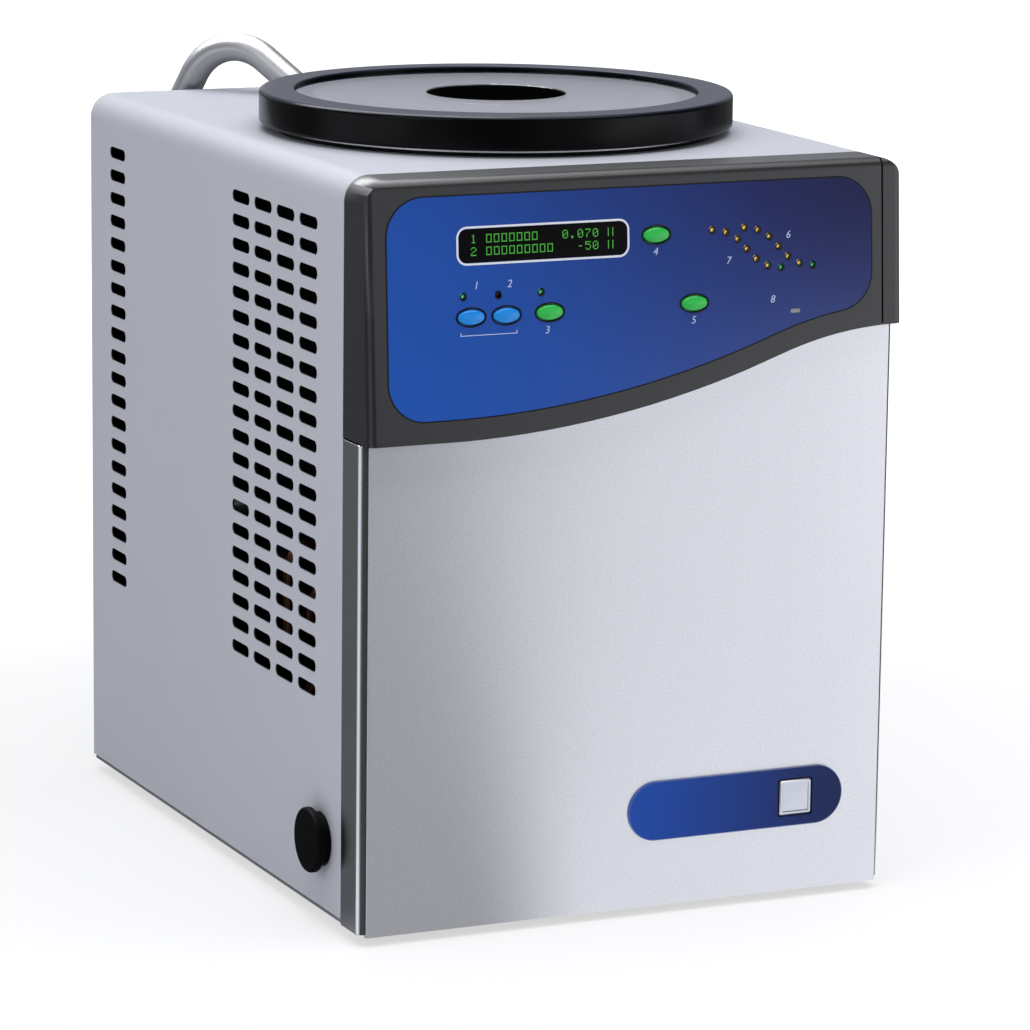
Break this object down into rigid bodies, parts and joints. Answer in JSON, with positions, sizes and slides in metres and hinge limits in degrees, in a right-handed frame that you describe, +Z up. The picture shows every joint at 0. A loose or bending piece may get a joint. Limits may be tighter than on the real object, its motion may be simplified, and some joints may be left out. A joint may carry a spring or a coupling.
{
  "type": "benchtop freeze dryer",
  "caption": "Benchtop freeze dryer: painted cabinet with side vents, brushed front, angled control head, clear ported lid on a rubber ring, and a bent vacuum tube.",
  "frame": {"origin": "middle of the base pan's underside, under the centre of the cabinet; the rubber feet reach 7 mm below it", "axes": "+X to the right of someone who faces the controls, +Y to the back, +Z up"},
  "size_m": [0.309, 0.4304, 0.4239],
  "materials": {
    "paint": "fine textured light grey paint",
    "rear_paint": "fine textured light grey paint",
    "steel": "brushed, grain level",
    "satin_steel": "satin",
    "galvanised": "dull zinc",
    "bezel": "fine matt texture",
    "overlay": "printed film, satin",
    "display": "glossy",
    "board": "solder resist",
    "button_green": "gloss",
    "button_blue": "gloss",
    "amber": "clear, gloss",
    "green": "clear, gloss",
    "dark": "gloss",
    "grey": "gloss",
    "badge": "gloss",
    "silver": "satin silver",
    "rubber": "smooth, semi-gloss",
    "foam": "closed-cell foam",
    "acrylic": "clear, polished",
    "hose": "translucent",
    "black_paint": "gloss black",
    "copper": "drawn copper, dull",
    "black_plastic": "matt",
    "fan": "pressed",
    "motor": "matt"
  },
  "bodies": {
    "cabinet": {"wrap_cover": "paint", "front_frame": "satin_steel", "front_panel": "steel", "base_pan": "galvanised", "feet": "rubber", "back_panel": "rear_paint", "panel_screws": "satin_steel", "control_bezel": "bezel", "bezel_end_cap": "bezel", "control_bulkhead": "galvanised", "control_overlay": "overlay", "display_window": "display", "display_module": "board", "control_board": "board", "board_standoffs": "satin_steel", "amber_leds": "amber", "green_leds": "green", "unlit_led": "dark", "alarm_lens": "grey", "badge_plate": "badge", "badge_tile": "silver", "collector_chamber": "satin_steel", "chamber_collar": "rubber", "collector_coil": "copper", "insulation": "foam", "lid": "acrylic", "lid_gasket": "rubber", "vacuum_tube": "satin_steel", "hose_nipple": "satin_steel", "tube_grommet": "rubber", "vacuum_sensor": "satin_steel", "drain_fitting": "black_plastic", "drain_tube": "hose", "compressor": "black_paint", "compressor_grommets": "rubber", "compressor_bolts": "satin_steel", "condenser": "fan", "condenser_bends": "copper", "fan_shroud": "black_paint", "fan_bracket": "galvanised", "fan_motor": "motor", "filter_drier": "copper", "discharge_line": "copper", "suction_line": "copper", "liquid_line": "copper", "electrical_box": "galvanised", "power_inlet": "black_plastic", "pump_outlet": "black_plastic", "switch_housing": "black_plastic"},
    "menu_button": {"menu_button": "button_green"},
    "select_button": {"select_button": "button_green"},
    "vacuum_button": {"vacuum_button": "button_green"},
    "auto_button": {"auto_button": "button_blue"},
    "manual_button": {"manual_button": "button_blue"},
    "drain_plug": {"drain_plug": "rubber"},
    "fan": {"fan_rotor": "fan", "fan_shaft": "satin_steel"},
    "rocker": {"switch_rocker": "black_plastic"}
  },
  "joints": [
    {"name": "menu_button_press", "type": "slide", "parent": "cabinet", "child": "menu_button", "axis": [0, 0.9981, -0.061], "range_m": [0, 0.001], "stiffness_N_per_m": 400, "springref_m": -0.0005},
    {"name": "select_button_press", "type": "slide", "parent": "cabinet", "child": "select_button", "axis": [0, 0.9981, -0.061], "range_m": [0, 0.001], "stiffness_N_per_m": 400, "springref_m": -0.0005},
    {"name": "vacuum_button_press", "type": "slide", "parent": "cabinet", "child": "vacuum_button", "axis": [0, 0.9981, -0.061], "range_m": [0, 0.001], "stiffness_N_per_m": 400, "springref_m": -0.0005},
    {"name": "auto_button_press", "type": "slide", "parent": "cabinet", "child": "auto_button", "axis": [0, 0.9981, -0.061], "range_m": [0, 0.001], "stiffness_N_per_m": 400, "springref_m": -0.0005},
    {"name": "manual_button_press", "type": "slide", "parent": "cabinet", "child": "manual_button", "axis": [0, 0.9981, -0.061], "range_m": [0, 0.001], "stiffness_N_per_m": 400, "springref_m": -0.0005},
    {"name": "drain_plug_pull", "type": "slide", "parent": "cabinet", "child": "drain_plug", "axis": [-1, 0, 0], "range_m": [0, 0.03]},
    {"name": "fan_spin", "type": "hinge", "parent": "cabinet", "child": "fan", "pos_m": [0.022, -0.01, 0.0975], "axis": [0, 1, 0], "continuous": true},
    {"name": "power_rocker", "type": "hinge", "parent": "cabinet", "child": "rocker", "pos_m": [0.112, 0.1915, 0.097], "axis": [-1, 0, 0], "range_deg": [0, 20]}
  ]
}
